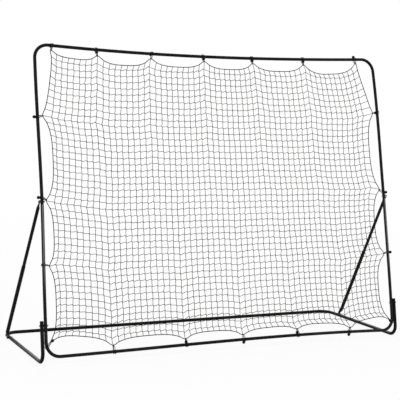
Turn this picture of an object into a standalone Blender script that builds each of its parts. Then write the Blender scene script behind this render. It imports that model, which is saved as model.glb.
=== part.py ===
# Soccer rebound net: a tilting tube frame with a tied-in net, on a U-shaped base with two telescopic braces.
# Metres, +Z up. X runs across the frame, the ball comes from -Y and the base reaches back to +Y.
# The origin is on the floor, under the middle of the object's outline.
# Round sections are polygons whose flats touch the true circle, so a diameter is the size across flats.

import bpy
import bmesh
from math import cos, pi, radians, sin, tan
from mathutils import Matrix, Vector

# Front frame, measured along its own plane
frame_width = 2.433
frame_length = 1.875
frame_tube = 0.020
frame_wall = 0.0012
corner_radius = 0.085
frame_lean = radians(10.0)
knee_angle = radians(2.0)
knee_height = 0.892
bar_joint = 0.500
floor_gap = 0.0365

# The stretched net draws the bars and uprights inwards by these amounts at mid span.
# The bars bow more towards one end, and the upper corners are drawn in further still.
top_bow = 0.033
top_bow_skew = -0.15
bottom_bow = 0.0155
bottom_bow_skew = 0.8
side_bow = 0.008
left_corner_pull = 0.007
right_corner_pull = 0.019
pull_start = 1.200

# Base
base_tube = 0.022
base_wall = 0.0012
rear_reach = 0.885
front_bend_radius = 0.058
rear_bend_radius = 0.085
rear_joint = 0.310
stub_length = 0.208
pivot_height = 0.185
side_gap = 0.0016

# Sleeve joints: a reduced end of one tube slips into the next
socket_depth = 0.060
swage_length = 0.006
slip = 0.0003
seam = 0.0004

# Braces
brace_outer_tube = 0.024
brace_outer_wall = 0.0015
brace_inner_tube = 0.020
brace_inner_wall = 0.0012
brace_above_joint = 0.016
brace_foot_inset = 0.145
brace_outer_length = 0.600
brace_overlap = 0.170
tab_thickness = 0.003
top_tab_width = 0.021
foot_tab_width = 0.020
tab_flat = 0.016
tab_throat = 0.034
foot_tab_gap = 0.0014
top_tab_gap = 0.0032

# Bolts and nuts
bolt_diameter = 0.006
bolt_clearance = 0.0006
open_pivot_clearance = 0.0030
hex_width = 0.010
head_height = 0.004
nut_height = 0.005
bolt_tail = 0.002
spacer_width = 0.014

# End caps on the upturned ends of the base
cap_flange = 0.004
cap_plug = 0.018

# Net and its border, drawn with every third mesh of 38 mm
net_columns = 20
net_rows = 15
net_border = 0.005
net_cord_share = 0.6
top_scallops = (0.036, 0.051, 0.045, 0.046, 0.048, 0.067)
bottom_scallops = (0.039, 0.040, 0.036, 0.029, 0.033, 0.031)
left_scallops = (0.034, 0.036, 0.052, 0.018)
right_scallops = (0.064, 0.058, 0.052, 0.004)
scallop_flatness = 3.2
scallop_decay = 7.0

# Elastic ties: a cord loop round tube and net border, with a ball that holds it
tie_cord = 0.0034
tie_ball = 0.020
tie_slack = 0.0006
tie_beside_knot = 0.009
tie_sides = 6

# Where the net's knots are tied along each member. The side ties run upwards from the bottom bar,
# and the third one on each side is placed from the joint of the upright.
top_knots = (-1.107, -0.809, -0.458, -0.087, 0.267, 0.656, 1.073)
bottom_knots = (-0.797, -0.324, 0.073, 0.465, 0.872)
left_knots = (0.096, 0.529, 1.422)
right_knots = (0.078, 0.517, 1.477)
left_knot_above_joint = 0.019
right_knot_above_joint = 0.064

# How far each tie holds the net's border off the member's axis
top_reaches = (0.029, 0.038, 0.031, 0.031, 0.034, 0.038, 0.029)
bottom_reaches = (0.038, 0.036, 0.030, 0.039, 0.027)
left_reaches = (0.0335, 0.035, 0.027, 0.032)
right_reaches = (0.0275, 0.031, 0.032, 0.038)

# How far the loop stands beside its knot. The two lowest side ties have slid down round the bend instead,
# to where the base's upturned end leaves room for them.
corner_tie_turn = radians(18.0)
top_shifts = (0.009, -0.009, 0.009, -0.009, -0.009, -0.009, -0.009)
bottom_shifts = (0.009, 0.009, 0.009, 0.009, -0.009)
left_shifts = (0.0, 0.009, 0.022, -0.009)
right_shifts = (0.0, 0.009, -0.022, 0.009)

# Angle of each ball round its tube, in degrees. Zero is straight away from the net,
# a quarter turn is towards the player and half a turn faces the net.
top_balls = (-90, 150, -90, 142, 150, 152, -25)
bottom_balls = (-90, -150, -26, -142, -26)
left_balls = (180, -90, 0, 0)
right_balls = (152, 0, 0, -90)

tube_sides = 12
bend_steps = 6
bolt_sides = 12
tip_steps = 3

# Sizes that follow from the ones above
frame_r = frame_tube / 2
base_r = base_tube / 2
half_width = frame_width / 2 - frame_r
brace_top_height = knee_height + brace_above_joint
length = frame_length - frame_tube
bar_z = floor_gap + frame_r
rail_x = half_width + frame_r + side_gap + base_r
bolt_r = bolt_diameter / 2
hole_r = bolt_r + bolt_clearance
sleeve_r = frame_r - frame_wall - slip
base_sleeve_r = base_r - base_wall - slip
left_places = (*left_knots[:2], knee_height + left_knot_above_joint, left_knots[2])
right_places = (*right_knots[:2], knee_height + right_knot_above_joint, right_knots[2])


def tube_material(name, colour, roughness, metallic):
    material = bpy.data.materials.new(name)
    material.use_nodes = True
    shader = material.node_tree.nodes["Principled BSDF"]
    shader.inputs["Base Color"].default_value = (*colour, 1.0)
    shader.inputs["Roughness"].default_value = roughness
    shader.inputs["Metallic"].default_value = metallic
    return material


def clear_scene():
    for item in list(bpy.data.objects):
        bpy.data.objects.remove(item)


def add_empty(name, place, parent=None):
    empty = bpy.data.objects.new(name, None)
    empty.empty_display_size = 0.05
    bpy.context.scene.collection.objects.link(empty)
    empty.parent = parent
    empty.location = place - (world_place(parent) if parent else Vector())
    return empty


def world_place(item):
    place = Vector(item.location)
    while item.parent:
        item = item.parent
        place += item.location
    return place


def add_part(name, mesh, material, carrier):
    """Hang a mesh, given in the assembly's coordinates, on the empty that carries it."""
    mesh.transform(Matrix.Translation(-world_place(carrier)))
    mesh.materials.append(material)
    mesh.shade_smooth()
    mesh.set_sharp_from_angle(angle=radians(35))
    part = bpy.data.objects.new(name, mesh)
    bpy.context.scene.collection.objects.link(part)
    part.parent = carrier
    return part


def ring(centre, across, up, radius, sides=tube_sides):
    reach = radius / cos(pi / sides)
    turns = [2 * pi * (i + 0.5) / sides for i in range(sides)]
    return [centre + reach * (cos(t) * across + sin(t) * up) for t in turns]


def loft(name, rings, closed=False):
    """Skin a row of rings. An open row gets an end face at both ends, a closed one joins up."""
    bm = bmesh.new()
    loops = [[bm.verts.new(point) for point in points] for points in rings]
    spans = list(zip(loops, loops[1:]))
    if closed:
        spans.append((loops[-1], loops[0]))
    else:
        bm.faces.new(loops[0])
        bm.faces.new(loops[-1])
    for first, second in spans:
        count = len(first)
        for i in range(count):
            j = (i + 1) % count
            bm.faces.new((first[i], first[j], second[j], second[i]))
    bmesh.ops.recalc_face_normals(bm, faces=bm.faces)
    mesh = bpy.data.meshes.new(name)
    bm.to_mesh(mesh)
    bm.free()
    return mesh


def path_frames(path, side, closed=False):
    """Tangent and two cross directions at each point, carried along without twisting."""
    frames = []
    last = len(path) - 1
    for i, point in enumerate(path):
        before = path[i - 1] if closed or i > 0 else point
        after = path[(i + 1) % len(path)] if closed or i < last else point
        tangent = (after - before).normalized()
        side = (side - side.dot(tangent) * tangent).normalized()
        frames.append((tangent, side, tangent.cross(side)))
    return frames


def hollow_tube(name, path, radii, wall, side):
    """A tube open at both ends, with an outer radius for each point of its centre line."""
    frames = path_frames(path, side)
    outer = [ring(p, s, u, r) for p, r, (t, s, u) in zip(path, radii, frames)]
    inner = [ring(p, s, u, r - wall) for p, r, (t, s, u) in zip(path, radii, frames)]
    return loft(name, outer + inner[::-1], closed=True)


def fillet(before, corner, after, radius, steps=bend_steps):
    """Arc points that round the corner between two straight runs."""
    first = (before - corner).normalized()
    second = (after - corner).normalized()
    half = first.angle(second) / 2
    centre = corner + (first + second).normalized() * radius / sin(half)
    spoke = corner + first * radius / tan(half) - centre
    other = corner + second * radius / tan(half) - centre
    axis = spoke.cross(other).normalized()
    turn = pi - 2 * half
    return [centre + Matrix.Rotation(turn * i / steps, 3, axis) @ spoke for i in range(steps + 1)]


def between(start, end, steps):
    return [start.lerp(end, i / steps) for i in range(1, steps)]


def drill(part, centre, direction, radius, depth, sides=8):
    """Cut a round hole, centred on a point of the assembly, through a part."""
    turn = direction.to_track_quat("Z", "Y").to_matrix()
    ends = [centre - direction * depth / 2, centre + direction * depth / 2]
    rings = [ring(end, turn @ Vector((1, 0, 0)), turn @ Vector((0, 1, 0)), radius, sides) for end in ends]
    cutter = add_part("cutter_" + part.name, loft("cutter", rings), materials["zinc"], part.parent)
    cutter.hide_render = True
    cutter.display_type = "WIRE"
    cut = part.modifiers.new("hole", "BOOLEAN")
    cut.operation = "DIFFERENCE"
    cut.solver = "EXACT"
    cut.object = cutter


def hex_ring(centre, across, up, width):
    """A hexagon with a point in the middle of each flat, to meet a twelve-sided round."""
    points = []
    for i in range(12):
        reach = width / 2 / (cos(pi / 6) if i % 2 == 0 else 1.0)
        turn = 2 * pi * i / 12
        points.append(centre + reach * (cos(turn) * across + sin(turn) * up))
    return points


def bolt(name, seat, direction, grip, material, carrier):
    """A hex bolt whose head sits outside the seat and whose shank runs back along the grip."""
    across = Vector((0, 1, 0)) if abs(direction.y) < 0.9 else Vector((1, 0, 0))
    across = (across - across.dot(direction) * direction).normalized()
    up = direction.cross(across)
    turn = Matrix.Rotation(pi / bolt_sides, 3, direction)
    shank = [ring(seat - direction * d, turn @ across, turn @ up, bolt_r, bolt_sides) for d in (0, grip)]
    head = [hex_ring(seat + direction * d, across, up, hex_width) for d in (0, head_height)]
    return add_part(name, loft(name, [head[1], head[0]] + shank), material, carrier)


def nut(name, seat, direction, material, carrier):
    """A hex nut that stands out from the seat along the direction."""
    across = Vector((0, 1, 0)) if abs(direction.y) < 0.9 else Vector((1, 0, 0))
    across = (across - across.dot(direction) * direction).normalized()
    up = direction.cross(across)
    turn = Matrix.Rotation(pi / bolt_sides, 3, direction)
    bore = bolt_r + slip
    outer = [hex_ring(seat + direction * d, across, up, hex_width) for d in (0, nut_height)]
    inner = [ring(seat + direction * d, turn @ across, turn @ up, bore, bolt_sides) for d in (nut_height, 0)]
    return add_part(name, loft(name, outer + inner, closed=True), material, carrier)


def frame_plane(x, s):
    """Where a point of the straight-sided frame lies once the net's pull has bowed it."""
    share = s / length
    rise = max(0.0, (s - pivot_height) / (length - pivot_height))
    side = x / half_width
    lift = bottom_bow * (1 + bottom_bow_skew * side)
    drop = top_bow * (1 + top_bow_skew * side)
    pull = right_corner_pull if x > 0 else left_corner_pull
    pull *= max(0.0, (s - pull_start) / (length - pull_start)) ** 2
    x -= side * (side_bow * sin(pi * rise) ** 2 + pull)
    s += (1 - side * side) * (lift * (1 - share) - drop * share)
    return x, s


def frame_point(x, s, forward=0.0):
    """A point of the frame's plane: x across, s up along it from the bottom bar, forward off it."""
    lower = min(s, knee_height)
    upper = max(0.0, s - knee_height)
    steep = frame_lean + knee_angle
    lean = steep if upper > 0 else frame_lean
    y = lower * sin(frame_lean) + upper * sin(steep) - forward * cos(lean)
    z = bar_z + lower * cos(frame_lean) + upper * cos(steep) + forward * sin(lean)
    return Vector((x, y, z))


def frame_normal(s):
    lean = frame_lean + (knee_angle if s > knee_height else 0.0)
    return Vector((0, -cos(lean), sin(lean)))


def bowed(x, s):
    return frame_point(*frame_plane(x, s))


def upper_corner(name, hand):
    """Upper half of an upright with the bend into the top bar. Its lower end slips into the lower half."""
    corner = Vector((hand * half_width, length, 0))
    low = Vector((hand * half_width, knee_height + swage_length, 0))
    far = Vector((hand * bar_joint, length, 0))
    arc = fillet(low, corner, far, corner_radius)
    flat = [low] + between(low, arc[0], 4) + arc + between(arc[-1], far, 3) + [far]
    sleeve = [Vector((hand * half_width, knee_height - socket_depth, 0)), Vector((hand * half_width, knee_height, 0))]
    path = [bowed(p.x, p.y) for p in sleeve + flat]
    radii = [sleeve_r] * 2 + [frame_r] * len(flat)
    part = add_part(name, hollow_tube(name, path, radii, frame_wall, frame_normal(0)), materials["frame"], tilt)
    drill(part, bowed(hand * half_width, brace_top_height), Vector((1, 0, 0)), hole_r, 2 * frame_tube)
    return part


def lower_corner(name, hand):
    """Lower half of an upright with the bend into the bottom bar. Both ends are open sockets."""
    corner = Vector((hand * half_width, 0, 0))
    high = Vector((hand * half_width, knee_height - seam, 0))
    far = Vector((hand * bar_joint, 0, 0))
    arc = fillet(high, corner, far, corner_radius)
    flat = [high] + between(high, arc[0], 4) + arc + between(arc[-1], far, 3) + [far]
    path = [bowed(p.x, p.y) for p in flat]
    part = add_part(
        name, hollow_tube(name, path, [frame_r] * len(path), frame_wall, frame_normal(0)), materials["frame"], tilt
    )
    drill(part, pivot_point(hand * half_width), Vector((1, 0, 0)), hole_r, 2 * frame_tube)
    return part


def middle_bar(name, s, normal):
    """Middle of the top or bottom bar, with a reduced sleeve at both ends."""
    end = bar_joint - seam
    full = end - swage_length
    stations = [-end - socket_depth, -end, -full] + [full * i / 3 for i in (-2, -1, 0, 1, 2)]
    stations += [full, end, end + socket_depth]
    path = [bowed(x, s) for x in stations]
    radii = [sleeve_r] * 2 + [frame_r] * (len(path) - 4) + [sleeve_r] * 2
    return add_part(name, hollow_tube(name, path, radii, frame_wall, normal), materials["frame"], tilt)


def pivot_point(x):
    return frame_point(x, pivot_height)


def base_side(name, hand):
    """Upturned stub, front bend, floor rail and rear bend in one tube."""
    x = hand * rail_x
    stub = frame_point(x, stub_length)
    lean = Vector((0, sin(frame_lean), cos(frame_lean)))
    heel = stub - lean * (stub.z - base_r) / lean.z
    rear_y = rear_reach
    rear = Vector((x, rear_y, base_r))
    end = Vector((hand * rear_joint, rear_y, base_r))
    front_arc = fillet(stub, heel, rear, front_bend_radius, bend_steps + 1)
    rear_arc = fillet(heel, rear, end, rear_bend_radius)
    path = [stub] + front_arc + rear_arc + [end]
    mesh = hollow_tube(name, path, [base_r] * len(path), base_wall, Vector((1, 0, 0)))
    part = add_part(name, mesh, materials["base"], root)
    drill(part, pivot_point(x), Vector((1, 0, 0)), hole_r, 2 * base_tube)
    drill(part, Vector((x, foot_y, base_r)), Vector((1, 0, 0)), hole_r, 2 * base_tube)
    return part


def rear_middle(name):
    end = rear_joint - seam
    full = end - swage_length
    stations = [-end - socket_depth, -end, -full, full, end, end + socket_depth]
    path = [Vector((x, rear_reach, base_r)) for x in stations]
    radii = [base_sleeve_r] * 2 + [base_r] * 2 + [base_sleeve_r] * 2
    return add_part(name, hollow_tube(name, path, radii, base_wall, Vector((0, 1, 0))), materials["base"], root)


def end_cap(name, hand):
    """Plastic cap: a plug inside the upturned end, under a flange with an eased edge."""
    lean = Vector((0, sin(frame_lean), cos(frame_lean)))
    seat = frame_point(hand * rail_x, stub_length) + lean * slip
    plug_r = base_r - base_wall - slip
    ease = cap_flange / 2
    profile = [(-cap_plug, plug_r), (0, plug_r), (0, base_r), (ease, base_r), (cap_flange, base_r - ease)]
    across = Vector((1, 0, 0))
    rings = [ring(seat + lean * rise, across, lean.cross(across), r) for rise, r in profile]
    return add_part(name, loft(name, rings), materials["plastic"], root)


def brace_ends(hand):
    """Centre of the foot tab and of the top tab, at the height of their bolts."""
    foot = Vector((hand * (rail_x + base_r + foot_tab_gap + tab_thickness / 2), foot_y, base_r))
    x, s = frame_plane(half_width, brace_top_height)
    top = frame_point(hand * (x + frame_r + top_tab_gap + tab_thickness / 2), s)
    return foot, top


def flat_section(centre, across, thick, width, thickness, sides=tube_sides):
    """A flattened tube's section, with as many points as the round it grows out of."""
    points = []
    for i in range(sides):
        turn = 2 * pi * (i + 0.5) / sides
        a = max(-1.0, min(1.0, cos(turn) / cos(pi / sides)))
        b = max(-1.0, min(1.0, sin(turn) / sin(pi / 4)))
        points.append(centre + across * a * width / 2 + thick * b * thickness / 2)
    return points


def tab_rings(bolt_place, inwards, across, thick, width, offset, radius):
    """Rings from the rounded tip of a flattened tab, past its bolt, to the full round tube."""
    half = width / 2
    rings = []
    for step in range(tip_steps):
        turn = (step + 0.5) / (tip_steps - 0.5) * pi / 2
        centre = bolt_place - inwards * half * cos(turn)
        rings.append(flat_section(centre, across, thick, width * sin(turn), tab_thickness))
    rings.append(flat_section(bolt_place + inwards * tab_flat, across, thick, width, tab_thickness))
    middle = bolt_place + inwards * (tab_flat + tab_throat / 2) + thick * offset * 0.6
    rings.append(flat_section(middle, across, thick, (width + 2 * radius) / 2, radius * 1.1))
    rings.append(ring(bolt_place + inwards * (tab_flat + tab_throat) + thick * offset, across, thick, radius))
    return rings


def brace_axes(hand):
    """The tube's own axis and its cross directions, and the point where the axis passes the foot bolt."""
    foot, top = brace_ends(hand)
    offset = brace_outer_tube / 2 - tab_thickness / 2
    out = Vector((hand, 0, 0))
    axis = (top - foot - out * offset).normalized()
    across = axis.cross(out).normalized()
    thick = across.cross(axis).normalized()
    start = foot + thick * offset
    axis = (top - start).normalized()
    return foot, top, start, axis, across, thick, offset


def brace_outer(name, hand, carrier):
    """Thick lower tube: open at the top, pressed flat on the rail's side at the foot."""
    foot, top, start, axis, across, thick, offset = brace_axes(hand)
    radius = brace_outer_tube / 2
    bore = radius - brace_outer_wall
    blind = tab_flat + tab_throat + 0.5 * brace_outer_tube
    rings = tab_rings(foot, axis, across, thick, foot_tab_width, offset, radius)
    rings.append(ring(start + axis * brace_outer_length, across, thick, radius))
    rings.append(ring(start + axis * brace_outer_length, across, thick, bore))
    rings.append(ring(start + axis * blind, across, thick, bore))
    part = add_part(name, loft(name, rings), materials["base"], carrier)
    drill(part, foot, thick, hole_r, 3 * tab_thickness)
    return part


def brace_inner(name, hand, carrier):
    """Thin upper tube: slides in the lower one, and pressed flat on the upright's side at the top."""
    foot, top, start, axis, across, thick, offset = brace_axes(hand)
    radius = brace_inner_tube / 2
    bore = radius - brace_inner_wall
    bottom = brace_outer_length - brace_overlap
    blind = tab_flat + tab_throat + 0.5 * brace_inner_tube
    rings = tab_rings(top, -axis, across, thick, top_tab_width, 0.0, radius)
    rings.append(ring(start + axis * bottom, across, thick, radius))
    rings.append(ring(start + axis * bottom, across, thick, bore))
    rings.append(ring(top - axis * blind, across, thick, bore))
    part = add_part(name, loft(name, rings), materials["frame"], carrier)
    drill(part, top, thick, hole_r + open_pivot_clearance, 3 * tab_thickness)
    return part


def pivot_hardware(hand, label):
    """Bolt through the upturned stub and the upright, with its nut inside the frame."""
    out = Vector((hand, 0, 0))
    seat = pivot_point(hand * (rail_x + base_r + slip))
    inside = pivot_point(hand * (half_width - frame_r - slip))
    grip = (seat - inside).length + nut_height + bolt_tail
    bolt("pivot_bolt_" + label, seat, out, grip, materials["zinc"], root)
    nut("pivot_nut_" + label, inside, -out, materials["zinc"], root)


def pivot_spacer(hand, label):
    """Plastic washer between the stub and the upright, so that the painted tubes don't rub."""
    start = pivot_point(hand * (half_width + frame_r + slip))
    end = pivot_point(hand * (half_width + frame_r + side_gap - slip))
    across = Vector((0, 1, 0))
    up = Vector((0, 0, 1))
    outer = [ring(place, across, up, spacer_width / 2) for place in (start, end)]
    inner = [ring(place, across, up, hole_r) for place in (end, start)]
    name = "pivot_spacer_" + label
    add_part(name, loft(name, outer + inner, closed=True), materials["plastic"], root)


def foot_hardware(hand, label):
    """Bolt that pins the brace's foot tab to the outer side of the rail."""
    foot, top = brace_ends(hand)
    out = Vector((hand, 0, 0))
    seat = foot + out * (tab_thickness / 2 + foot_tab_gap)
    inside = Vector((hand * (rail_x - base_r - slip), foot_y, base_r))
    grip = (seat - inside).length + nut_height + bolt_tail
    bolt("foot_bolt_" + label, seat, out, grip, materials["black"], root)
    nut("foot_nut_" + label, inside, -out, materials["zinc"], root)


def top_hardware(hand, label):
    """Bolt on the upright for the brace's top tab. The tab's hole is wide, so the linkage stays free."""
    foot, top = brace_ends(hand)
    out = Vector((hand, 0, 0))
    seat = top + out * (tab_thickness / 2 + top_tab_gap)
    x, s = frame_plane(half_width, brace_top_height)
    inside = frame_point(hand * (x - frame_r - slip), s)
    grip = (seat - inside).length + nut_height + bolt_tail
    bolt("top_bolt_" + label, seat, out, grip, materials["zinc"], tilt)
    nut("top_nut_" + label, inside, -out, materials["zinc"], tilt)


def edge_points(stations, scallops, inwards, count):
    """Points along one edge of the net: it hangs from its ties and draws in between them."""
    steps = []
    total = sum((b - a).length for a, b in zip(stations, stations[1:]))
    travelled = 0.0
    for a, b in zip(stations, stations[1:]):
        steps.append(round(travelled / total * count))
        travelled += (b - a).length
    steps.append(count)
    points = []
    for index in range(count + 1):
        span = max(i for i in range(len(scallops)) if steps[i] <= index)
        share = (index - steps[span]) / (steps[span + 1] - steps[span])
        point = stations[span].lerp(stations[span + 1], share)
        points.append(point + inwards * scallops[span] * (1 - abs(2 * share - 1) ** scallop_flatness))
    return points


def net_edges():
    """The four edges of the net in the frame's plane, each from its tie points."""
    def on_bar(x, s, reach):
        px, ps = frame_plane(x, s)
        return Vector((px, ps + reach))

    def on_side(hand, s, reach):
        px, ps = frame_plane(hand * half_width, s)
        return Vector((px - hand * reach, ps))

    top = [on_bar(x, length, -reach) for x, reach in zip(top_knots, top_reaches)]
    left = [on_side(-1, s, reach) for s, reach in zip(left_places, left_reaches)] + [top[0]]
    right = [on_side(1, s, reach) for s, reach in zip(right_places, right_reaches)] + [top[-1]]
    bottom = [on_bar(x, 0, reach) for x, reach in zip(bottom_knots, bottom_reaches)]
    bottom = [left[0]] + bottom + [right[0]]
    return (
        edge_points(bottom, bottom_scallops, Vector((0, 1)), net_columns),
        edge_points(top, top_scallops, Vector((0, -1)), net_columns),
        edge_points(left, left_scallops, Vector((1, 0)), net_rows),
        edge_points(right, right_scallops, Vector((-1, 0)), net_rows),
    )


def net_grid():
    """Crossings of the net: evenly spread between its corners, and pulled along by the edges nearby."""
    bottom, top, left, right = net_edges()
    grid = []
    for row in range(net_rows + 1):
        v = row / net_rows
        line = []
        for column in range(net_columns + 1):
            u = column / net_columns
            low = bottom[0].lerp(bottom[-1], u)
            high = top[0].lerp(top[-1], u)
            place = low.lerp(high, v)
            place += (bottom[column] - low) * (1 - v) ** scallop_decay
            place += (top[column] - high) * v ** scallop_decay
            place += (left[row] - left[0].lerp(left[-1], v)) * (1 - u) ** scallop_decay
            place += (right[row] - right[0].lerp(right[-1], v)) * u ** scallop_decay
            line.append(place)
        grid.append(line)
    return grid


def make_net(name):
    """The knotted net as one lattice of cords, with a thicker border."""
    bm = bmesh.new()
    grid = [[bm.verts.new(frame_point(p.x, p.y)) for p in line] for line in net_grid()]
    for row in range(net_rows):
        for column in range(net_columns):
            corners = (grid[row][column], grid[row][column + 1], grid[row + 1][column + 1], grid[row + 1][column])
            bm.faces.new(corners)
    bm.verts.index_update()
    border = [v.index for v in bm.verts if v.is_boundary]
    mesh = bpy.data.meshes.new(name)
    bm.to_mesh(mesh)
    bm.free()
    part = add_part(name, mesh, materials["net"], tilt)
    group = part.vertex_groups.new(name="border")
    group.add(border, 1.0, "REPLACE")
    cords = part.modifiers.new("cords", "WIREFRAME")
    cords.thickness = net_border
    cords.vertex_group = "border"
    cords.thickness_vertex_group = net_cord_share
    cords.use_boundary = True
    cords.use_even_offset = False
    cords.use_relative_offset = False
    return part


def make_tie(name, centre, along, out, ball_angle, hook):
    """Elastic loop round the tube and the net's border, swelling into its ball by the tube or at the net."""
    front = along.cross(out).normalized()
    if front.y > 0:
        front = -front
    cord_r = tie_cord / 2
    ball_r = tie_ball / 2
    wrap_step = radians(52)
    wrap_r = (frame_r + cord_r + tie_slack) / cos(wrap_step / 2)
    far = hook + (hook - centre).normalized() * (1.5 * net_border + cord_r + tie_slack)
    wide = net_border / 2 + cord_r + 2 * tie_slack
    ball_place = radians(ball_angle)
    ball_away = frame_r + ball_r + tie_slack

    def spot(away, turn):
        return centre + out * away * cos(turn) + front * away * sin(turn)

    loop = []
    for i in (-1.5, -0.5, 0.5, 1.5):
        turn = i * wrap_step
        if abs(turn - ball_place) > radians(30):
            loop.append((turn, spot(wrap_r, turn), cord_r))
    if ball_angle < 180:
        loop.append((ball_place, spot(ball_away, ball_place), ball_r))
    loop.sort(key=lambda item: item[0])
    points = [(place, r) for turn, place, r in loop]
    if ball_angle < 180:
        points.append((far + front * wide, cord_r))
    else:
        points.append((hook + front * (ball_r + net_border), ball_r))
    points.append((far - front * wide, cord_r))
    path = []
    radii = []
    for i, (place, r) in enumerate(points):
        if r == cord_r:
            path.append(place)
            radii.append(r)
            continue
        before = points[i - 1][0]
        after = points[(i + 1) % len(points)][0]
        tangent = (after - before).normalized()
        for share in (-0.94, -0.72, -0.3, 0.3, 0.72, 0.94):
            path.append(place + tangent * share * ball_r)
            radii.append(ball_r * (1 - share * share) ** 0.5)
    frames = path_frames(path, along, closed=True)
    rings = [ring(p, s, u, r * cos(pi / tie_sides), tie_sides) for p, r, (t, s, u) in zip(path, radii, frames)]
    return add_part(name, loft(name, rings, closed=True), materials["plastic"], tilt)


def corner_tie_place(hand):
    """Centre of a corner tie on the lower bend, the tube's direction there and the way out of the bend."""
    arm = Vector((hand * cos(corner_tie_turn), -sin(corner_tie_turn)))
    x = hand * (half_width - corner_radius) + arm.x * corner_radius
    s = corner_radius + arm.y * corner_radius
    across = Vector((1, 0, 0))
    out = across * arm.x + up_direction(0) * arm.y
    along = up_direction(0) * arm.x * hand - across * arm.y * hand
    return bowed(x, s), along, out


def make_ties():
    across = Vector((1, 0, 0))
    for label, s, out, knots, reaches, shifts, balls in (
        ("top", length, up_direction(length), top_knots, top_reaches, top_shifts, top_balls),
        ("bottom", 0, -up_direction(0), bottom_knots, bottom_reaches, bottom_shifts, bottom_balls),
    ):
        for i, (x, reach, shift, angle) in enumerate(zip(knots, reaches, shifts, balls)):
            centre = bowed(x + shift, s)
            make_tie("tie_%s_%d" % (label, i + 1), centre, across, out, angle, centre - out * reach)
    for label, hand, knots, reaches, shifts, balls in (
        ("left", -1, left_places, left_reaches, left_shifts, left_balls),
        ("right", 1, right_places, right_reaches, right_shifts, right_balls),
    ):
        for i, (s, reach, shift, angle) in enumerate(zip(knots, reaches, shifts, balls)):
            centre, along, out = bowed(hand * half_width, s + shift), up_direction(s), across * hand
            beside = max(-tie_beside_knot, min(tie_beside_knot, shift))
            hook = bowed(hand * half_width, s + beside) - out * reach
            if i == 0:
                centre, along, out = corner_tie_place(hand)
            make_tie("tie_%s_%d" % (label, i + 1), centre, along, out, angle, hook)


def up_direction(s):
    lean = frame_lean + (knee_angle if s > knee_height else 0.0)
    return Vector((0, sin(lean), cos(lean)))


def centre_on_floor(parts):
    """Move the assembly so that the origin is under the middle of its outline."""
    bpy.context.view_layer.update()
    corners = [part.matrix_world @ Vector(corner) for part in parts for corner in part.bound_box]
    low = min(corner.y for corner in corners)
    high = max(corner.y for corner in corners)
    root.location.y = -(low + high) / 2


clear_scene()
materials = {
    "frame": tube_material("satin_black_tube", (0.012, 0.012, 0.013), 0.38, 0.0),
    "base": tube_material("gloss_black_tube", (0.014, 0.014, 0.015), 0.30, 0.0),
    "plastic": tube_material("black_plastic", (0.010, 0.010, 0.010), 0.45, 0.0),
    "black": tube_material("black_bolt", (0.015, 0.015, 0.015), 0.40, 0.6),
    "zinc": tube_material("zinc_plated_steel", (0.55, 0.56, 0.58), 0.35, 1.0),
    "net": tube_material("black_twine", (0.012, 0.012, 0.012), 0.85, 0.0),
}
foot_y = rear_reach - brace_foot_inset

root = add_empty("root", Vector())
tilt = add_empty("tilt_axis", pivot_point(0), root)

upper_corner("frame_upper_left", -1)
upper_corner("frame_upper_right", 1)
lower_left = lower_corner("frame_lower_left", -1)
lower_right = lower_corner("frame_lower_right", 1)
middle_bar("frame_top_bar", length, frame_normal(length))
middle_bar("frame_bottom_bar", 0, frame_normal(0))

rear_middle("base_rear_bar")
for hand, label, lower in ((-1, "left", lower_left), (1, "right", lower_right)):
    base_side("base_side_" + label, hand)
    end_cap("end_cap_" + label, hand)
    foot, top = brace_ends(hand)
    swing = add_empty("brace_axis_" + label, foot, root)
    slide = add_empty("brace_slide_" + label, top, swing)
    brace_outer("brace_outer_" + label, hand, swing)
    brace_inner("brace_inner_" + label, hand, slide)
    pivot_hardware(hand, label)
    pivot_spacer(hand, label)
    foot_hardware(hand, label)
    top_hardware(hand, label)

make_net("net")
make_ties()
centre_on_floor([item for item in bpy.data.objects if item.type == "MESH" and not item.hide_render])
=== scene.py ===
import random
from math import acos, copysign, cos, pi, radians, sin, tan

import bmesh
import bpy
from mathutils import Matrix, Vector


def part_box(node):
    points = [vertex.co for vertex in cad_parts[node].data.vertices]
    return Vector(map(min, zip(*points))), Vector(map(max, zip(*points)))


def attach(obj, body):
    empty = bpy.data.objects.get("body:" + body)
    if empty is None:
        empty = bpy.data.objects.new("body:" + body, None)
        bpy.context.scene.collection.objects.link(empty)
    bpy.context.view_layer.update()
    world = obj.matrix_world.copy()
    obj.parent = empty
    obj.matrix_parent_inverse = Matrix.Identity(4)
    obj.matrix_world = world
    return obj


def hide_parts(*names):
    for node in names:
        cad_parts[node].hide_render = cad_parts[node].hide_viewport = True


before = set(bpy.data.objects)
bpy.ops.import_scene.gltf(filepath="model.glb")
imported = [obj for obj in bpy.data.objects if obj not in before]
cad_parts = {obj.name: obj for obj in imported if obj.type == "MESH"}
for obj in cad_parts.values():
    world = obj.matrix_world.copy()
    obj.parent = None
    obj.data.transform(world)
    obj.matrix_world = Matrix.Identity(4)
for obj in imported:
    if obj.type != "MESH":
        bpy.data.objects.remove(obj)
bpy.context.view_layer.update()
print("frame loaded")


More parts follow.
